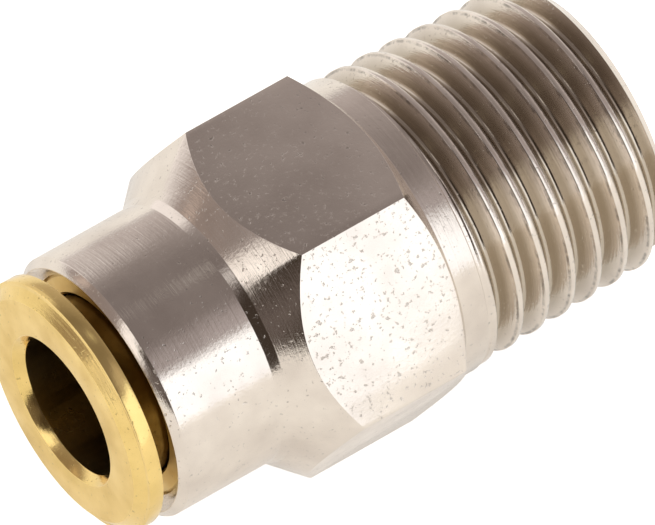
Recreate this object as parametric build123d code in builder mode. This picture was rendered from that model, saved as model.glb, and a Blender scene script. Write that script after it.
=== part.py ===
"""Straight push-in tube fitting with a taper pipe thread, lying on one flat of its hexagon.

Millimetres, Z up. X runs along the fitting from the release button to the threaded end.
The origin is on the axis, where the hexagon ends and the threaded stem begins.
"""

import os
from math import atan, degrees, radians, sqrt, tan

from build123d import *

# Tube and clearances, clearances as radial or axial gaps
tube_diameter = 6.0
tube_guide_clearance = 0.05
sliding_clearance = 0.08
press_clearance = 0.01
seal_clearance = 0.03
release_travel = 0.7
stop_clearance = 0.1

# Hexagon and the turned cones that cut its corners
hex_over_thread = 0.843
corner_length = 5.05
shoulder_angle = 43.5
back_chamfer_angle = 35.0

# Collar with the mouth
collar_wall = 0.9
collar_length = 4.91
mouth_rim_chamfer = 0.33
mouth_rim_land = 0.03
mouth_cone_length = 0.5
root_cone_angle = 23.0
root_cone_length = 0.41

# Neck and taper pipe thread
hex_to_neck = 0.25
neck_length = 1.13
neck_step_chamfer = 0.06
relief_width = 0.16
relief_depth = 0.05
stem_length = 10.8
thread_diameter = 13.157
gauge_length = 6.0
thread_pitch = 1.337
thread_taper = 1 / 16
thread_angle = 55.0
thread_depth = 0.856
thread_overcut = 0.18
full_depth_start = 0.54
full_depth_turn = 309.0
runout_turns = 0.33
stem_end_chamfer = 0.6

# Passage through the body
tube_stop_width = 0.95
flow_bore_chamfer = 0.5
guide_length = 6.6
guide_lead_in = 0.4
seal_chamber_length = 1.8

# Seal and support ring
seal_section = 1.5
ring_thickness = 0.7
ring_edge = 0.1

# Clamping sleeve
sleeve_wall = 0.91
sleeve_recess = 0.55
clamp_cone_angle = 28.0
sleeve_mouth_chamfer = 0.12

# Release collet
collar_to_button = 0.2
button_thickness = 1.03
button_step = 0.2
button_bevel_width = 0.43
button_bevel_length = 0.38
button_back_edge = 0.04
collet_bore_clearance = 0.1
collet_bore_flare = 0.33
collet_flare_depth = 0.42
collet_wall = 0.9
finger_count = 8
slot_width = 0.5
slot_to_button = 1.6
finger_bulge = 0.5
bulge_length = 0.5
tooth_height = 0.13
tooth_pitch = 0.45
tooth_count = 2

# Radii and stations along X
guide_radius = tube_diameter / 2 + tube_guide_clearance
flow_radius = guide_radius - tube_stop_width
seal_chamber_radius = guide_radius + seal_section + seal_clearance
collet_bore_radius = tube_diameter / 2 + collet_bore_clearance
collet_radius = collet_bore_radius + collet_wall
bulge_radius = collet_radius + finger_bulge
throat_radius = collet_radius + sliding_clearance
sleeve_radius = throat_radius + sleeve_wall
press_bore_radius = sleeve_radius + press_clearance
collar_radius = press_bore_radius + collar_wall
button_radius = collar_radius - collar_to_button
bevel_radius = button_radius - button_step
face_radius = bevel_radius - button_bevel_width
hex_flat_radius = (thread_diameter + hex_over_thread) / 2
hex_corner_radius = hex_flat_radius * 2 / sqrt(3)
neck_radius = hex_flat_radius - hex_to_neck

back_corner_x = -(hex_corner_radius - neck_radius) * tan(radians(back_chamfer_angle))
front_corner_x = back_corner_x - corner_length
root_radius = collar_radius + root_cone_length * tan(radians(root_cone_angle))
root_end_x = front_corner_x - (hex_corner_radius - root_radius) / tan(radians(shoulder_angle))
collar_end_x = root_end_x - root_cone_length
mouth_x = collar_end_x - collar_length

seat_x = collar_end_x
ring_x = seat_x - ring_thickness
sleeve_x = mouth_x + sleeve_recess
seal_floor_x = seat_x + seal_chamber_length
tube_stop_x = seal_floor_x + guide_length

button_back_x = mouth_x - release_travel - stop_clearance
button_x = button_back_x - button_thickness
finger_end_x = ring_x - release_travel - stop_clearance
bulge_x = finger_end_x - bulge_length
cone_x = bulge_x - finger_bulge / tan(radians(clamp_cone_angle))


def turned(*points, mode=Mode.ADD):
    """Turns a closed outline of (x, radius) points about the X axis, in the part being built."""
    with BuildSketch(Plane.XZ) as outline:
        with BuildLine():
            Polyline(*points, close=True)
        make_face()
    revolve(outline.sketch, axis=Axis.X, mode=mode)


# Thread: straight flanks between flat crests and roots, on a taper set by the gauge plane
taper_slope = thread_taper / 2
flank_slope = tan(radians(thread_angle / 2))
gauge_x = stem_length - gauge_length
full_depth_x = neck_length + full_depth_start
runout_length = runout_turns * thread_pitch
runout_slope = (thread_depth + thread_overcut / 2) / runout_length
groove_root = (thread_pitch / 2 - thread_depth * flank_slope) / 2
groove_height = thread_depth + thread_overcut
groove_mouth = groove_root + groove_height * flank_slope


def crest_radius(x):
    """Radius of the thread's crests at a station."""
    return thread_diameter / 2 - (x - gauge_x) * taper_slope


def groove_sweep(start, length, radius, slope):
    """Sweeps the thread's groove along Z on a cone, standing until it is laid along X in the body."""
    with BuildLine() as path:
        Helix(
            pitch=thread_pitch * sqrt(1 + slope**2),
            height=length,
            radius=radius,
            center=(0, 0, start),
            cone_angle=-degrees(atan(slope)),
        )
    with BuildSketch(Plane(origin=path.line @ 0, x_dir=(1, 0, 0), z_dir=path.line % 0)) as section:
        with BuildLine():
            Polyline(
                (0, -groove_root),
                (groove_height, -groove_mouth),
                (groove_height, groove_mouth),
                (0, groove_root),
                close=True,
            )
        make_face()
    sweep(section.sketch, path=path.line, is_frenet=True)


# Cutters of the thread: the full groove, and the end of it that rises out before the neck
full_depth_radius = crest_radius(full_depth_x) - thread_depth
runout_x = full_depth_x - runout_length
with BuildPart() as thread_groove:
    groove_sweep(full_depth_x, stem_length + thread_pitch - full_depth_x, full_depth_radius, taper_slope)
with BuildPart() as thread_runout:
    groove_sweep(
        runout_x,
        runout_length,
        full_depth_radius + runout_length * runout_slope,
        runout_slope,
    )

# Relief line between the neck and the thread
relief_x = neck_length + neck_step_chamfer
relief_radius = crest_radius(relief_x + relief_width + relief_depth) - relief_depth

# Body: hexagon with turned ends, collar, neck and threaded stem, bored through
with BuildPart() as body:
    with BuildSketch(Plane.YZ.offset(root_end_x)):
        RegularPolygon(radius=hex_flat_radius, side_count=6, major_radius=False)
    extrude(amount=-root_end_x)
    turned(
        (root_end_x, 0),
        (root_end_x, root_radius),
        (front_corner_x, hex_corner_radius),
        (back_corner_x, hex_corner_radius),
        (0, neck_radius),
        (0, 0),
        mode=Mode.INTERSECT,
    )
    turned(
        (mouth_x, 0),
        (mouth_x, collar_radius - mouth_rim_chamfer),
        (mouth_x + mouth_rim_chamfer, collar_radius),
        (collar_end_x, collar_radius),
        (root_end_x, root_radius),
        (root_end_x, 0),
    )
    turned(
        (0, 0),
        (0, neck_radius),
        (neck_length, neck_radius),
        (relief_x, relief_radius),
        (relief_x + relief_width, relief_radius),
        (relief_x + relief_width + relief_depth, relief_radius + relief_depth),
        (stem_length - stem_end_chamfer, crest_radius(stem_length - stem_end_chamfer)),
        (stem_length, crest_radius(stem_length - stem_end_chamfer) - stem_end_chamfer),
        (stem_length, 0),
    )
    add(thread_groove.part, rotation=(full_depth_turn - 180, 90, 0), mode=Mode.SUBTRACT)
    add(thread_runout.part, rotation=(full_depth_turn - 180 - 360 * runout_turns, 90, 0), mode=Mode.SUBTRACT)
    turned(
        (mouth_x, 0),
        (mouth_x, collar_radius - mouth_rim_chamfer - mouth_rim_land),
        (mouth_x + mouth_cone_length, press_bore_radius),
        (seat_x, press_bore_radius),
        (seat_x, seal_chamber_radius),
        (seal_floor_x, seal_chamber_radius),
        (seal_floor_x, guide_radius + guide_lead_in),
        (seal_floor_x + guide_lead_in, guide_radius),
        (tube_stop_x, guide_radius),
        (tube_stop_x, flow_radius),
        (stem_length - flow_bore_chamfer, flow_radius),
        (stem_length, flow_radius + flow_bore_chamfer),
        (stem_length, 0),
        mode=Mode.SUBTRACT,
    )
body.part.label = "body"

# Clamping sleeve: a throat that guides the collet, opening inwards as the cone that closes its fingers
sleeve_cone_radius = seal_chamber_radius + ring_edge
sleeve_cone_end_x = cone_x + (sleeve_cone_radius - throat_radius) / tan(radians(clamp_cone_angle))
with BuildPart() as clamp_sleeve:
    turned(
        (sleeve_x, throat_radius + sleeve_mouth_chamfer),
        (sleeve_x, sleeve_radius - sleeve_mouth_chamfer),
        (sleeve_x + sleeve_mouth_chamfer, sleeve_radius),
        (ring_x, sleeve_radius),
        (ring_x, sleeve_cone_radius),
        (sleeve_cone_end_x, sleeve_cone_radius),
        (cone_x, throat_radius),
        (sleeve_x + sleeve_mouth_chamfer, throat_radius),
    )
clamp_sleeve.part.label = "clamp_sleeve"

# Support ring between the sleeve and the seat at the end of the press bore
with BuildPart() as support_ring:
    turned(
        (ring_x, collet_bore_radius + ring_edge),
        (ring_x, sleeve_radius),
        (seat_x, sleeve_radius),
        (seat_x, collet_bore_radius),
        (ring_x + ring_edge, collet_bore_radius),
    )
support_ring.part.label = "support_ring"

# O-ring in the middle of its chamber
seal_x = (seat_x + seal_floor_x) / 2
seal_centre_radius = seal_chamber_radius - seal_clearance - seal_section / 2
with BuildPart() as o_ring:
    with BuildSketch(Plane.XZ):
        with Locations((seal_x, seal_centre_radius)):
            Circle(seal_section / 2)
    revolve(axis=Axis.X)
o_ring.part.label = "o_ring"

# Release collet: button flange, stem, and fingers that swell into the clamping cone
bevel_end_x = button_x + button_bevel_length
with BuildPart() as release_collet:
    turned(
        (button_x + collet_flare_depth, collet_bore_radius),
        (button_x, collet_bore_radius + collet_bore_flare),
        (button_x, face_radius),
        (bevel_end_x, bevel_radius),
        (bevel_end_x, button_radius),
        (button_back_x - button_back_edge, button_radius),
        (button_back_x, button_radius - button_back_edge),
        (button_back_x, collet_radius),
        (cone_x, collet_radius),
        (bulge_x, bulge_radius),
        (finger_end_x, bulge_radius),
        (finger_end_x, collet_bore_radius),
    )
    for tooth in range(tooth_count):
        tooth_x = finger_end_x - tooth * tooth_pitch
        turned(
            (tooth_x, collet_bore_radius),
            (tooth_x, collet_bore_radius - tooth_height),
            (tooth_x - tooth_pitch, collet_bore_radius),
        )
    slot_length = finger_end_x - button_back_x - slot_to_button
    with BuildSketch(Plane.YZ.offset(finger_end_x)):
        with PolarLocations(0, finger_count):
            Rectangle(button_radius, slot_width, align=(Align.MIN, Align.CENTER))
    extrude(amount=-slot_length, mode=Mode.SUBTRACT)
release_collet.part.label = "release_collet"

os.makedirs("parts", exist_ok=True)
for piece in (body, clamp_sleeve, support_ring, o_ring, release_collet):
    export_step(piece.part, f"parts/{piece.part.label}.step")
    print(piece.part.label, round(piece.part.volume, 2), piece.part.is_valid)
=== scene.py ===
"""Straight push-in tube fitting: nickel-plated brass body with a taper thread, brass release collet."""

from math import atan2, cos, hypot, pi, radians, sin, sqrt, tan

import bmesh
import bpy
from mathutils import Matrix, Vector


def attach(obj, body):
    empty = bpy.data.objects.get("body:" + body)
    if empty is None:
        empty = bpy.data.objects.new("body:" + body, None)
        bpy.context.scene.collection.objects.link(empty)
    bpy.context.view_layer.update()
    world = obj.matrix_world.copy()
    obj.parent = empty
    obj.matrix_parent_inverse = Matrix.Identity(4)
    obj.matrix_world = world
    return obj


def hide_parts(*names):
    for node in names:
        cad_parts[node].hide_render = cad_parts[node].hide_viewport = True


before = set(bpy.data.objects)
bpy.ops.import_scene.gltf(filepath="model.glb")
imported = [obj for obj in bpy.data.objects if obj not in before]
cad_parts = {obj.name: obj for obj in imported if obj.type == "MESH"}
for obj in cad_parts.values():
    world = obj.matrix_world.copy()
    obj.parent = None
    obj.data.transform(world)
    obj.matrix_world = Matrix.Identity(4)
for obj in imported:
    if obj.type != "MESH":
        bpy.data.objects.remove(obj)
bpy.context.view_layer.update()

MM = 0.001

# Hexagon, neck and collar in millimetres: radii, lengths and angles
HEX_FLAT = 7.0
HEX_CORNER = 2 * HEX_FLAT / sqrt(3)
NECK = 6.75
NECK_LENGTH = 1.13
NECK_STEP = 0.06
RELIEF_WIDTH = 0.16
RELIEF_DEPTH = 0.05
COLLAR = 5.9
COLLAR_LENGTH = 4.91
CORNER_LENGTH = 5.05
BACK_ANGLE = radians(35)
SHOULDER_ANGLE = radians(43.5)
ROOT_CONE_ANGLE = radians(23)
ROOT_CONE_LENGTH = 0.41
RIM_CHAMFER = 0.33
RIM_LAND = 0.03
MOUTH_CONE_LENGTH = 0.5

# Passage through the body
PRESS_BORE = 5.0
SEAL_CHAMBER = 4.58
SEAL_CHAMBER_LENGTH = 1.8
TUBE_GUIDE = 3.05
GUIDE_LENGTH = 6.6
GUIDE_LEAD_IN = 0.4
FLOW_BORE = 2.1
FLOW_CHAMFER = 0.5
STEM_END_X = 10.8
STEM_CHAMFER = 0.6

# Taper thread
PITCH = 1.337
TAPER = 1 / 32  # radius lost per length
GAUGE_X = STEM_END_X - 6.0
CREST_AT_GAUGE = 13.157 / 2
THREAD_DEPTH = 0.856
THREAD_OVERCUT = 0.18
HALF_ANGLE = radians(27.5)
FLANK = tan(HALF_ANGLE)
ROOT_HALF = (PITCH / 2 - THREAD_DEPTH * FLANK) / 2
ROOT_ROUND = 0.18
ROOT_STEPS = 4
CREST_EASE = 0.035
CREST_EASE_LENGTH = 1.6 * CREST_EASE
FULL_DEPTH_X = 1.67
FULL_DEPTH_TURN = radians(309)
RUNOUT_TURNS = 0.33
TURN_STEPS = 180

# Release collet, sleeve, support ring and seal
RELEASE_GAP = 0.8
BUTTON = 5.7
BUTTON_THICKNESS = 1.03
BEVEL = 5.5
BEVEL_LENGTH = 0.38
FACE = 5.07
COLLET_BORE = 3.1
BORE_FLARE = 0.33
FLARE_DEPTH = 0.42
COLLET_STEM = 4.0
BULGE = 0.5
BULGE_LENGTH = 0.5
CLAMP_CONE_ANGLE = radians(28)
TOOTH_HEIGHT = 0.13
TOOTH_PITCH = 0.45
FINGERS = 8
SLOT_WIDTH = 0.5
SLOT_TO_BUTTON = 1.6
SLOT_PAST_END = 1.0
SLOT_FLOOR = 2.6
SLOT_TOP = 6.0
SLEEVE_BORE = 4.08
SLEEVE_RECESS = 0.55
SLEEVE_CHAMFER = 0.12
SLEEVE_CONE_STEP = 0.1
PRESS_GAP = 0.01
RING_THICKNESS = 0.7
RING_EDGE = 0.1
SEAL_SECTION = 0.75
SEAL_GAP = 0.03

# Stations along X that follow from the sizes above, and the radius where collar and shoulder meet
BACK_CORNER_X = -(HEX_CORNER - NECK) * tan(BACK_ANGLE)
FRONT_CORNER_X = BACK_CORNER_X - CORNER_LENGTH
ROOT_RADIUS = COLLAR + ROOT_CONE_LENGTH * tan(ROOT_CONE_ANGLE)
ROOT_END_X = FRONT_CORNER_X - (HEX_CORNER - ROOT_RADIUS) / tan(SHOULDER_ANGLE)
COLLAR_END_X = ROOT_END_X - ROOT_CONE_LENGTH
MOUTH_X = COLLAR_END_X - COLLAR_LENGTH
SEAL_FLOOR_X = COLLAR_END_X + SEAL_CHAMBER_LENGTH
TUBE_STOP_X = SEAL_FLOOR_X + GUIDE_LENGTH
RING_X = COLLAR_END_X - RING_THICKNESS
SLEEVE_X = MOUTH_X + SLEEVE_RECESS
FINGER_END_X = RING_X - RELEASE_GAP
BULGE_X = FINGER_END_X - BULGE_LENGTH
CONE_X = BULGE_X - BULGE / tan(CLAMP_CONE_ANGLE)
BUTTON_BACK_X = MOUTH_X - RELEASE_GAP
BUTTON_X = BUTTON_BACK_X - BUTTON_THICKNESS
BEVEL_END_X = BUTTON_X + BEVEL_LENGTH

# How fine the meshes are
ROUND_SEGMENTS = 288
SEAL_SEGMENTS = 128
SEAL_SECTION_SEGMENTS = 32
BODY_EDGE = 0.04
BODY_EDGE_ANGLE = 14
COLLET_EDGE = 0.025
COLLET_EDGE_ANGLE = 18
EDGE_SEGMENTS = 2
SMOOTH_ANGLE = radians(30)
MERGE_DISTANCE = 1e-7

# Material places beside the turned finish, which is 0: on the body, then on the collet
FLAT, THREADED = 1, 2
FACED, BORED = 1, 2

# How faces of the collet are told apart: how square to the axis, and how near in millimetres
SQUARE = 0.98
NEAR = 0.01


def crest(x):
    """Radius of the thread's crests at a station."""
    return CREST_AT_GAUGE - (x - GAUGE_X) * TAPER


# Mesh helpers
def full_spin(bm, steps):
    """Spins the outline in a mesh once round the X axis and closes it."""
    bmesh.ops.spin(
        bm,
        geom=list(bm.verts) + list(bm.edges),
        cent=(0, 0, 0),
        axis=(1, 0, 0),
        dvec=(0, 0, 0),
        angle=2 * pi,
        space=Matrix.Identity(4),
        steps=steps,
        use_merge=True,
        use_normal_flip=False,
        use_duplicate=False,
    )
    bmesh.ops.remove_doubles(bm, verts=list(bm.verts), dist=MERGE_DISTANCE)
    bmesh.ops.recalc_face_normals(bm, faces=list(bm.faces))


def spun(outline):
    """A closed outline of (x, radius) in millimetres, spun about the X axis."""
    bm = bmesh.new()
    ring = [bm.verts.new((x * MM, 0, r * MM)) for x, r in outline]
    for a, b in zip(ring, ring[1:] + ring[:1]):
        bm.edges.new((a, b))
    full_spin(bm, ROUND_SEGMENTS)
    return bm


def ease_edges(bm, width, least_angle):
    """Rounds every edge sharper than an angle by a small width."""
    least = radians(least_angle)
    sharp = [e for e in bm.edges if len(e.link_faces) == 2 and e.calc_face_angle(0) > least]
    bmesh.ops.bevel(
        bm,
        geom=sharp,
        offset=width * MM,
        offset_type="OFFSET",
        segments=EDGE_SEGMENTS,
        profile=0.5,
        affect="EDGES",
        clamp_overlap=True,
        material=-1,
    )


def new_object(bm, name, materials):
    """An object in the scene that takes over a mesh."""
    mesh = bpy.data.meshes.new(name)
    bm.to_mesh(mesh)
    bm.free()
    obj = bpy.data.objects.new(name, mesh)
    bpy.context.scene.collection.objects.link(obj)
    for material in materials:
        mesh.materials.append(material)
    return obj


def finish_piece(bm, name, body, node, materials):
    """Turns a mesh into a piece that replaces a CAD node and rides on a body."""
    piece = new_object(bm, name, materials)
    piece.data.shade_smooth()
    piece.data.set_sharp_from_angle(angle=SMOOTH_ANGLE)
    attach(piece, body)
    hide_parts(node)


def cut_away(bm, cutter, materials):
    """Cuts one closed mesh out of another and gives the result back."""
    blank = new_object(bm, "cut_blank", materials)
    tool = new_object(cutter, "cut_tool", materials)
    cut = blank.modifiers.new("cut", "BOOLEAN")
    cut.operation = "DIFFERENCE"
    cut.object = tool
    cut.solver = "EXACT"
    cut.material_mode = "INDEX"
    bpy.context.view_layer.update()
    evaluated = blank.evaluated_get(bpy.context.evaluated_depsgraph_get())
    result = bpy.data.meshes.new_from_object(evaluated)
    out = bmesh.new()
    out.from_mesh(result)
    for obj in (blank, tool):
        mesh = obj.data
        bpy.data.objects.remove(obj)
        bpy.data.meshes.remove(mesh)
    bpy.data.meshes.remove(result)
    return out


class Nodes:
    """Short way to lay out the nodes of a tree."""

    def __init__(self, tree):
        self.tree = tree

    def add(self, kind, **settings):
        node = self.tree.nodes.new(kind)
        for key, value in settings.items():
            setattr(node, key, value)
        return node

    def link(self, source, target):
        self.tree.links.new(source, target)

    def feed(self, socket, value):
        """Links a socket to another node's output, or sets it where the value is a number."""
        if isinstance(value, (int, float)):
            socket.default_value = value
        else:
            self.link(value, socket)

    def maths(self, operation, *values):
        node = self.add("ShaderNodeMath", operation=operation)
        for socket, value in zip(node.inputs, values):
            self.feed(socket, value)
        return node.outputs[0]

    def times(self, a, b):
        return self.maths("MULTIPLY", a, b)

    def length(self, a, b):
        """Length of a vector with two parts."""
        return self.maths("SQRT", self.maths("ADD", self.times(a, a), self.times(b, b)))

    def object_place(self):
        """Object coordinates in metres."""
        split = self.add("ShaderNodeSeparateXYZ")
        self.link(self.add("ShaderNodeTexCoord").outputs["Object"], split.inputs[0])
        return split.outputs

    def place(self):
        """Object coordinates in millimetres."""
        return [self.times(part, 1 / MM) for part in self.object_place()]

    def vector(self, x, y, z):
        node = self.add("ShaderNodeCombineXYZ")
        for socket, value in zip(node.inputs, (x, y, z)):
            self.feed(socket, value)
        return node.outputs[0]

    def noise(self, vector, w=None, scale=1.0, detail=3.0, roughness=0.5):
        node = self.add("ShaderNodeTexNoise", noise_dimensions="3D" if w is None else "4D")
        node.inputs["Scale"].default_value = scale
        node.inputs["Detail"].default_value = detail
        node.inputs["Roughness"].default_value = roughness
        self.link(vector, node.inputs["Vector"])
        if w is not None:
            self.link(w, node.inputs["W"])
        return node.outputs["Fac"]

    def spread(self, value, low, high, to_low=0.0, to_high=1.0):
        """Maps a stretch of values on another, held at its ends."""
        node = self.add("ShaderNodeMapRange", clamp=True)
        self.link(value, node.inputs["Value"])
        keys = ("From Min", "From Max", "To Min", "To Max")
        for key, number in zip(keys, (low, high, to_low, to_high)):
            node.inputs[key].default_value = number
        return node.outputs[0]

    def mix(self, factor, first, second):
        node = self.add("ShaderNodeMix", data_type="RGBA")
        self.link(factor, node.inputs["Factor"])
        for socket, value in ((node.inputs[6], first), (node.inputs[7], second)):
            if isinstance(value, tuple):
                socket.default_value = (*value, 1.0)
            else:
                self.link(value, socket)
        return node.outputs[2]

    def bump(self, height, depth, below=None):
        """Relief of a depth in millimetres, laid over the relief below it."""
        node = self.add("ShaderNodeBump")
        node.inputs["Strength"].default_value = 1.0
        node.inputs["Distance"].default_value = depth * MM
        self.link(height, node.inputs["Height"])
        if below is not None:
            self.link(below, node.inputs["Normal"])
        return node.outputs["Normal"]


class Finish(Nodes):
    """Nodes of a new material, with its shader at hand."""

    def __init__(self, name, metallic=0.0):
        self.material = bpy.data.materials.new(name)
        self.material.use_nodes = True
        super().__init__(self.material.node_tree)
        self.shader = self.tree.nodes["Principled BSDF"]
        self.shader.inputs["Metallic"].default_value = metallic

    def surface(self, colour, roughness, normal):
        for key, value in (("Base Color", colour), ("Roughness", roughness), ("Normal", normal)):
            self.link(value, self.shader.inputs[key])
        return self.material


def darker(colour, share):
    return tuple(share * part for part in colour)


def drifting_roughness(n, drift, roughness):
    return n.spread(drift, 0.3, 0.7, 0.85 * roughness, 1.2 * roughness)


def thread_tone(n, x, r, place, colour, groove, dull):
    """Paints shade on the thread, darker towards its root, and draws ragged dark marks along its
    crests.
    """
    crest_line = n.maths("SUBTRACT", CREST_AT_GAUGE, n.times(n.maths("SUBTRACT", x, GAUGE_X), TAPER))
    depth = n.maths("SUBTRACT", crest_line, r)
    # Painted shade: the groove colour deepens towards the thread's root
    colour = n.mix(n.spread(depth, 0.12, 0.55, to_high=0.85), colour, groove)
    lip = n.times(n.spread(depth, 0.01, 0.05), n.spread(depth, 0.10, 0.16, 1.0, 0.0))
    ragged = n.noise(place, scale=1.3, detail=6.0, roughness=0.75)
    lip = n.times(lip, n.spread(ragged, 0.44, 0.62, to_high=0.7))
    return n.mix(lip, colour, darker(dull, 0.22))


def turned_metal(
    name,
    colour,
    dull,
    roughness,
    mark_depth,
    mark_scale=9.0,
    waviness=None,
    grain=None,
    groove=None,
):
    """Turned metal: fine rings round the axis, slight colour drift and small pits."""
    n = Finish(name, metallic=1.0)
    x, y, z = n.place()
    r = n.length(y, z)
    place = n.vector(x, y, z)
    drift = n.noise(place, scale=0.55)
    pits = n.spread(n.noise(place, scale=5.5, detail=2.0, roughness=0.6), 0.66, 0.72)
    tone = n.mix(n.spread(drift, 0.35, 0.7), colour, dull)
    tone = n.mix(n.times(pits, 0.35), tone, darker(dull, 0.35))
    # Painted shade in the thread groove, in the colour given for it
    if groove is not None:
        tone = thread_tone(n, x, r, place, tone, groove, dull)
    along_ring = 0.16
    rings = n.noise(
        n.vector(n.times(x, mark_scale), n.times(r, mark_scale), n.times(y, along_ring)),
        w=n.times(z, along_ring),
        detail=4.0,
        roughness=0.65,
    )
    normal = n.bump(rings, mark_depth)
    if waviness is not None:
        normal = n.bump(n.noise(place, scale=0.9, detail=2.0), waviness, normal)
    if grain is not None:
        normal = n.bump(n.noise(place, scale=6.5, roughness=0.6), grain, normal)
    normal = n.bump(n.maths("SUBTRACT", 1.0, pits), 0.006, normal)
    return n.surface(tone, drifting_roughness(n, drift, roughness), normal)


def flat_metal(name, colour, dull, roughness):
    """Drawn hexagon stock under thin plate: even satin with small pits and faint lengthways lines."""
    n = Finish(name, metallic=1.0)
    x, y, z = n.place()
    place = n.vector(x, y, z)
    drift = n.noise(place, scale=0.45, detail=4.0)
    pits = n.spread(n.noise(place, scale=4.6, detail=4.0, roughness=0.65), 0.60, 0.68)
    tone = n.mix(n.spread(drift, 0.35, 0.7), colour, dull)
    tone = n.mix(n.times(pits, 0.45), tone, darker(dull, 0.4))
    lengthways = n.noise(n.vector(n.times(x, 0.5), n.times(y, 6.0), n.times(z, 6.0)))
    normal = n.bump(lengthways, 0.0008)
    normal = n.bump(n.noise(place, scale=1.4, detail=2.0), 0.002, normal)
    normal = n.bump(n.noise(place, scale=7.0, roughness=0.6), 0.003, normal)
    normal = n.bump(n.maths("SUBTRACT", 1.0, pits), 0.008, normal)
    return n.surface(tone, drifting_roughness(n, drift, roughness), normal)


def rubber(name):
    """Matt black seal rubber with a faint bloom."""
    n = Finish(name)
    place = n.vector(*n.place())
    cloud = n.noise(place, scale=1.6, detail=4.0)
    tone = n.mix(cloud, (0.012, 0.012, 0.013), (0.03, 0.029, 0.028))
    relief = n.bump(n.noise(place, scale=14.0, detail=2.0), 0.006)
    return n.surface(tone, n.spread(cloud, 0.3, 0.7, 0.5, 0.7), relief)


# Finishes
NICKEL = (0.79, 0.72, 0.64)
NICKEL_DULL = (0.68, 0.61, 0.54)
# Painted shade in the thread groove, laid on deeper towards the root
NICKEL_GROOVE_SHADE = (0.47, 0.405, 0.32)
BRASS = (0.91, 0.68, 0.27)
BRASS_DULL = (0.76, 0.55, 0.20)
BRASS_PALE = (0.85, 0.68, 0.34)
# Painted shade: dark brass for the collet's bore and stem, which lie in shade inside the fitting
BRASS_SHADED = (0.30, 0.21, 0.085)
BRASS_SHADED_DULL = (0.16, 0.11, 0.045)
nickel_turned = turned_metal(
    "nickel_turned",
    NICKEL,
    NICKEL_DULL,
    0.13,
    0.009,
    waviness=0.003,
    grain=0.005,
)
nickel_flat = flat_metal("nickel_flat", NICKEL, NICKEL_DULL, 0.16)
nickel_thread = turned_metal(
    "nickel_thread",
    NICKEL,
    NICKEL_DULL,
    0.13,
    0.012,
    mark_scale=7.0,
    grain=0.003,
    groove=NICKEL_GROOVE_SHADE,
)
brass_turned = turned_metal("brass_turned", BRASS, BRASS_DULL, 0.14, 0.006, grain=0.003)
brass_face = turned_metal("brass_face", BRASS, BRASS_DULL, 0.36, 0.005, mark_scale=12.0, grain=0.006)
# Painted shade on the bore and the stem
brass_shaded_bore = turned_metal("brass_shaded_bore", BRASS_SHADED, BRASS_SHADED_DULL, 0.3, 0.004)
brass_sleeve = turned_metal("brass_sleeve", BRASS_PALE, BRASS_DULL, 0.3, 0.004)
seal_rubber = rubber("seal_rubber")


# Body
def turned_blank():
    """The body before its flats and its thread are cut: everything that the lathe leaves."""
    relief_x = NECK_LENGTH + NECK_STEP
    relief_end_x = relief_x + RELIEF_WIDTH + RELIEF_DEPTH
    relief = crest(relief_end_x) - RELIEF_DEPTH
    chamfer_x = STEM_END_X - STEM_CHAMFER
    return spun(
        [
            (MOUTH_X, COLLAR - RIM_CHAMFER),
            (MOUTH_X + RIM_CHAMFER, COLLAR),
            (COLLAR_END_X, COLLAR),
            (ROOT_END_X, ROOT_RADIUS),
            (FRONT_CORNER_X, HEX_CORNER),
            (BACK_CORNER_X, HEX_CORNER),
            (0, NECK),
            (NECK_LENGTH, NECK),
            (relief_x, relief),
            (relief_x + RELIEF_WIDTH, relief),
            (relief_end_x, relief + RELIEF_DEPTH),
            (chamfer_x, crest(chamfer_x)),
            (STEM_END_X, crest(chamfer_x) - STEM_CHAMFER),
            (STEM_END_X, FLOW_BORE + FLOW_CHAMFER),
            (STEM_END_X - FLOW_CHAMFER, FLOW_BORE),
            (TUBE_STOP_X, FLOW_BORE),
            (TUBE_STOP_X, TUBE_GUIDE),
            (SEAL_FLOOR_X + GUIDE_LEAD_IN, TUBE_GUIDE),
            (SEAL_FLOOR_X, TUBE_GUIDE + GUIDE_LEAD_IN),
            (SEAL_FLOOR_X, SEAL_CHAMBER),
            (COLLAR_END_X, SEAL_CHAMBER),
            (COLLAR_END_X, PRESS_BORE),
            (MOUTH_X + MOUTH_CONE_LENGTH, PRESS_BORE),
            (MOUTH_X, COLLAR - RIM_CHAMFER - RIM_LAND),
        ]
    )


def mill_flats(bm):
    """Cuts the six flats and closes each with one face."""
    for k in range(6):
        angle = k * pi / 3
        out = Vector((0, sin(angle), cos(angle)))
        cut = bmesh.ops.bisect_plane(
            bm,
            geom=list(bm.verts) + list(bm.edges) + list(bm.faces),
            dist=MERGE_DISTANCE,
            plane_co=out * HEX_FLAT * MM,
            plane_no=out,
            clear_outer=True,
        )
        rim = [e for e in cut["geom_cut"] if isinstance(e, bmesh.types.BMEdge)]
        for face in bmesh.ops.contextual_create(bm, geom=rim)["faces"]:
            face.material_index = FLAT
    bmesh.ops.recalc_face_normals(bm, faces=list(bm.faces))


def groove_section():
    """The thread's groove as (along X, above the root): round root, straight flanks, eased crests."""
    arc_reach = pi / 2 - HALF_ANGLE
    arc = [arc_reach * k / ROOT_STEPS for k in range(-ROOT_STEPS, ROOT_STEPS + 1)]
    shoulder = THREAD_DEPTH - CREST_EASE
    flank_end = ROOT_HALF + shoulder * FLANK
    return [
        *[(ROOT_ROUND * sin(a), ROOT_ROUND * (1 - cos(a))) for a in arc],
        (flank_end, shoulder),
        (flank_end + CREST_EASE_LENGTH, THREAD_DEPTH),
        (ROOT_HALF + THREAD_DEPTH, THREAD_DEPTH + THREAD_OVERCUT),
        (-ROOT_HALF - THREAD_DEPTH, THREAD_DEPTH + THREAD_OVERCUT),
        (-flank_end - CREST_EASE_LENGTH, THREAD_DEPTH),
        (-flank_end, shoulder),
    ]


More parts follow.
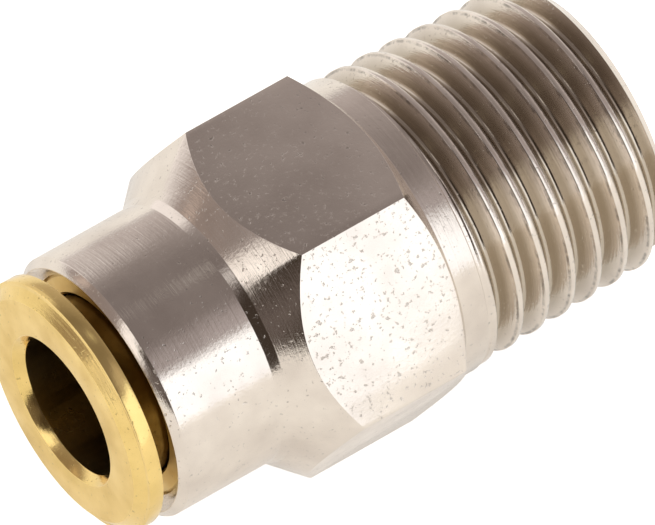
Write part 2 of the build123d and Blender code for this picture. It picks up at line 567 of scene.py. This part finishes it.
def thread_cutter():
    """The groove as a closed coil that cuts the stem, rising out before the neck."""
    bm = bmesh.new()
    start_x = FULL_DEPTH_X - RUNOUT_TURNS * PITCH
    start_turn = FULL_DEPTH_TURN - RUNOUT_TURNS * 2 * pi
    root = crest(start_x) - THREAD_DEPTH
    out = Vector((0, -sin(start_turn), cos(start_turn)))
    places = [Vector((start_x + x, 0, 0)) + out * (root + h) for x, h in groove_section()]
    face = bm.faces.new([bm.verts.new(place) for place in places])
    steps = round((STEM_END_X + PITCH - start_x) / PITCH * TURN_STEPS)
    bmesh.ops.spin(
        bm,
        geom=[face] + list(face.edges) + list(face.verts),
        cent=(0, 0, 0),
        axis=(1, 0, 0),
        dvec=(PITCH / TURN_STEPS, 0, 0),
        angle=steps * 2 * pi / TURN_STEPS,
        space=Matrix.Identity(4),
        steps=steps,
        use_merge=False,
        use_normal_flip=False,
        use_duplicate=False,
    )
    for v in bm.verts:
        part_turn = ((atan2(-v.co.y, v.co.z) - start_turn) / (2 * pi)) % 1.0
        turn = part_turn + round((v.co.x - start_x) / PITCH - part_turn)
        rise = max(0.0, 1 - turn / RUNOUT_TURNS) * (THREAD_DEPTH + THREAD_OVERCUT / 2)
        radius = hypot(v.co.y, v.co.z)
        scale = (radius - max(turn, 0.0) * PITCH * TAPER + rise) / radius
        v.co.y *= scale
        v.co.z *= scale
    bmesh.ops.scale(bm, vec=(MM, MM, MM), verts=list(bm.verts))
    bmesh.ops.recalc_face_normals(bm, faces=list(bm.faces))
    for cut_face in bm.faces:
        cut_face.material_index = THREADED
    return bm


def make_body():
    bm = turned_blank()
    mill_flats(bm)
    ease_edges(bm, BODY_EDGE, BODY_EDGE_ANGLE)
    finishes = [nickel_turned, nickel_flat, nickel_thread]
    bm = cut_away(bm, thread_cutter(), finishes)
    finish_piece(bm, "fitting_body", "fitting", "body", finishes)


# Release collet
def finger_slots():
    """Boxes that part the collet's end into fingers."""
    start_x = BUTTON_BACK_X + SLOT_TO_BUTTON
    end_x = FINGER_END_X + SLOT_PAST_END
    middle = Matrix.Translation(((start_x + end_x) / 2 * MM, (SLOT_FLOOR + SLOT_TOP) / 2 * MM, 0))
    size = Matrix.Diagonal(((end_x - start_x) * MM, (SLOT_TOP - SLOT_FLOOR) * MM, SLOT_WIDTH * MM, 1))
    bm = bmesh.new()
    for k in range(FINGERS):
        turn = Matrix.Rotation(k * 2 * pi / FINGERS, 4, "X")
        bmesh.ops.create_cube(bm, size=1.0, matrix=turn @ middle @ size)
    return bm


def make_collet():
    bm = spun(
        [
            (BUTTON_X + FLARE_DEPTH, COLLET_BORE),
            (BUTTON_X, COLLET_BORE + BORE_FLARE),
            (BUTTON_X, FACE),
            (BEVEL_END_X, BEVEL),
            (BEVEL_END_X, BUTTON),
            (BUTTON_BACK_X, BUTTON),
            (BUTTON_BACK_X, COLLET_STEM),
            (CONE_X, COLLET_STEM),
            (BULGE_X, COLLET_STEM + BULGE),
            (FINGER_END_X, COLLET_STEM + BULGE),
            (FINGER_END_X, COLLET_BORE - TOOTH_HEIGHT),
            (FINGER_END_X - TOOTH_PITCH, COLLET_BORE),
            (FINGER_END_X - TOOTH_PITCH, COLLET_BORE - TOOTH_HEIGHT),
            (FINGER_END_X - 2 * TOOTH_PITCH, COLLET_BORE),
        ]
    )
    ease_edges(bm, COLLET_EDGE, COLLET_EDGE_ANGLE)
    finishes = [brass_turned, brass_face, brass_shaded_bore]
    bm = cut_away(bm, finger_slots(), finishes)
    for face in bm.faces:
        centre = face.calc_center_median() / MM
        if abs(face.normal.x) > SQUARE and centre.x < BUTTON_X + 2 * NEAR:
            face.material_index = FACED
        # Painted shade: faces past the flare and inside the stem's radius, the bore and the stem, take
        # the dark brass
        past_flare = centre.x > BUTTON_X + FLARE_DEPTH + NEAR
        if past_flare and hypot(centre.y, centre.z) < COLLET_STEM + NEAR:
            face.material_index = BORED
    finish_piece(bm, "brass_collet", "collet", "release_collet", finishes)


# Clamping sleeve, support ring and seal
def make_sleeve_and_ring():
    outer = PRESS_BORE - PRESS_GAP
    cone = SEAL_CHAMBER + SLEEVE_CONE_STEP
    sleeve = spun(
        [
            (SLEEVE_X, SLEEVE_BORE + SLEEVE_CHAMFER),
            (SLEEVE_X, outer - SLEEVE_CHAMFER),
            (SLEEVE_X + SLEEVE_CHAMFER, outer),
            (RING_X, outer),
            (RING_X, cone),
            (CONE_X + (cone - SLEEVE_BORE) / tan(CLAMP_CONE_ANGLE), cone),
            (CONE_X, SLEEVE_BORE),
            (SLEEVE_X + SLEEVE_CHAMFER, SLEEVE_BORE),
        ]
    )
    finishes = [brass_sleeve]
    finish_piece(sleeve, "clamping_sleeve", "fitting", "clamp_sleeve", finishes)
    ring = spun(
        [
            (RING_X, COLLET_BORE + RING_EDGE),
            (RING_X, outer),
            (COLLAR_END_X, outer),
            (COLLAR_END_X, COLLET_BORE),
            (RING_X + RING_EDGE, COLLET_BORE),
        ]
    )
    finish_piece(ring, "backing_ring", "fitting", "support_ring", finishes)


def make_seal():
    middle_x = (COLLAR_END_X + SEAL_FLOOR_X) / 2
    middle_radius = SEAL_CHAMBER - SEAL_GAP - SEAL_SECTION
    middle = Matrix.Translation((middle_x * MM, 0, middle_radius * MM))
    bm = bmesh.new()
    bmesh.ops.create_circle(
        bm,
        cap_ends=False,
        segments=SEAL_SECTION_SEGMENTS,
        radius=SEAL_SECTION * MM,
        matrix=middle @ Matrix.Rotation(pi / 2, 4, "X"),
    )
    full_spin(bm, SEAL_SEGMENTS)
    finish_piece(bm, "seal_ring", "fitting", "o_ring", [seal_rubber])


make_body()
make_collet()
make_sleeve_and_ring()
make_seal()


# Table
def table_material():
    """White paper with a glow that is stronger to the camera than in the polish."""
    n = Finish("table_white")
    rays = n.add("ShaderNodeLightPath").outputs
    seen = n.maths("MAXIMUM", rays["Is Camera Ray"], rays["Is Transmission Ray"])
    glow = n.maths("ADD", n.times(seen, 0.75), n.times(rays["Is Glossy Ray"], 0.3))
    n.shader.inputs["Base Color"].default_value = (0.82, 0.80, 0.77, 1)
    n.shader.inputs["Roughness"].default_value = 0.9
    n.shader.inputs["Emission Color"].default_value = (1, 1, 1, 1)
    n.link(glow, n.shader.inputs["Emission Strength"])
    return n.material


def make_table():
    bm = bmesh.new()
    bmesh.ops.create_grid(bm, x_segments=1, y_segments=1, size=1.5)
    bmesh.ops.translate(bm, vec=(0, 0, -HEX_FLAT * MM), verts=list(bm.verts))
    new_object(bm, "table", [table_material()])


# Tent round the set, seen only in the polish: each panel has the middle and the half size of its
# azimuth from +X and its elevation in degrees, the half width of its soft edge, and its tone
PAPER = (1.0, 1.0, 1.0)
TENT_WALL = (0.58, 0.52, 0.51)
TENT_ROOF = (0.26, 0.225, 0.22)
TENT_PANELS = {
    "roof_patch": ((18, 68), (14, 5), 4, (0.58, 0.55, 0.53)),
    "above_softbox": ((-55, 48), (24, 10), 6, (0.52, 0.47, 0.48)),
    "rear_white": ((97, 15), (17, 26), 7, (1.15, 1.10, 1.10)),
    "rear_taupe": ((147, 20), (26, 17), 4, (0.34, 0.28, 0.26)),
    "rear_stripe": ((131, 14), (4, 9), 3, (0.74, 0.61, 0.54)),
    "left_roof_white": ((-163, 62), (13, 9), 5, (0.95, 0.92, 0.92)),
    "behind_camera": ((-134, 28), (37, 31), 3, (0.06, 0.045, 0.035)),
    "beside_camera": ((-157, 10), (14, 13), 4, (0.17, 0.14, 0.13)),
    "left_strip": ((179, 24), (10, 17), 3, (1.40, 1.35, 1.32)),
    "softbox_front": ((-68, 16), (26, 23), 4, (1.50, 1.54, 1.62)),
}


def tent_material():
    n = Finish("tent_cloth")
    x, y, z = n.object_place()
    azimuth = n.times(n.maths("ARCTAN2", y, x), 180 / pi)
    elevation = n.times(n.maths("ARCTAN2", z, n.length(x, y)), 180 / pi)
    tone = n.mix(n.spread(elevation, -7, 6), PAPER, TENT_WALL)
    tone = n.mix(n.spread(elevation, 10, 60), tone, TENT_ROOF)
    for middle, half, soft, colour in TENT_PANELS.values():
        turned = n.maths("MODULO", n.maths("ADD", azimuth, 540 - middle[0]), 360.0)
        offsets = (n.maths("SUBTRACT", turned, 180.0), n.maths("SUBTRACT", elevation, middle[1]))
        across, up = (
            n.spread(n.maths("ABSOLUTE", offset), reach - soft, reach + soft, 1.0, 0.0)
            for offset, reach in zip(offsets, half)
        )
        tone = n.mix(n.times(across, up), tone, colour)
    n.shader.inputs["Base Color"].default_value = (0, 0, 0, 1)
    n.shader.inputs["Roughness"].default_value = 1.0
    n.shader.inputs["Specular IOR Level"].default_value = 0.0
    n.link(tone, n.shader.inputs["Emission Color"])
    n.shader.inputs["Emission Strength"].default_value = 1.0
    return n.material


def make_tent():
    bm = bmesh.new()
    bmesh.ops.create_uvsphere(bm, u_segments=96, v_segments=48, radius=1.2)
    bmesh.ops.reverse_faces(bm, faces=list(bm.faces))
    tent = new_object(bm, "light_tent", [tent_material()])
    tent.visible_camera = False
    tent.visible_diffuse = False
    tent.visible_transmission = False
    tent.visible_shadow = False


def make_softbox():
    """One soft lamp in front, for all but the polish, where the tent's panel shows in its place."""
    distance = 0.6
    elevation = radians(28)
    data = bpy.data.lights.new("softbox_front", "AREA")
    data.shape = "RECTANGLE"
    data.size = 0.6
    data.size_y = 0.35
    data.energy = 1.2
    lamp = bpy.data.objects.new("softbox_front", data)
    bpy.context.scene.collection.objects.link(lamp)
    lamp.location = (0, -distance * cos(elevation), distance * sin(elevation))
    lamp.rotation_euler = (-lamp.location).to_track_quat("-Z", "Y").to_euler()
    lamp.visible_glossy = False


def make_world():
    """Pale light all round, pure white to camera, glossy and transmission rays."""
    world = bpy.data.worlds.new("studio")
    bpy.context.scene.world = world
    world.use_nodes = True
    n = Nodes(world.node_tree)
    rays = n.add("ShaderNodeLightPath").outputs
    seen = n.maths("MAXIMUM", rays["Is Camera Ray"], rays["Is Glossy Ray"])
    seen = n.maths("MAXIMUM", seen, rays["Is Transmission Ray"])
    tone = n.mix(seen, (0.80, 0.78, 0.75), (1, 1, 1))
    n.link(tone, n.tree.nodes["Background"].inputs["Color"])


def make_camera():
    """Camera at the photograph's viewing angle."""
    data = bpy.data.cameras.new("camera")
    data.sensor_width = 36.0
    data.lens = 1099.24
    data.clip_start = 0.01
    data.clip_end = 10.0
    camera = bpy.data.objects.new("camera", data)
    bpy.context.scene.collection.objects.link(camera)
    camera.location = (-0.29429, -0.436249, 0.617459)
    camera.rotation_euler = (radians(40.3525), radians(1.5008), radians(-35.5835))
    bpy.context.scene.camera = camera
    bpy.context.scene.view_settings.view_transform = "Standard"


make_table()
make_tent()
make_softbox()
make_world()
make_camera()
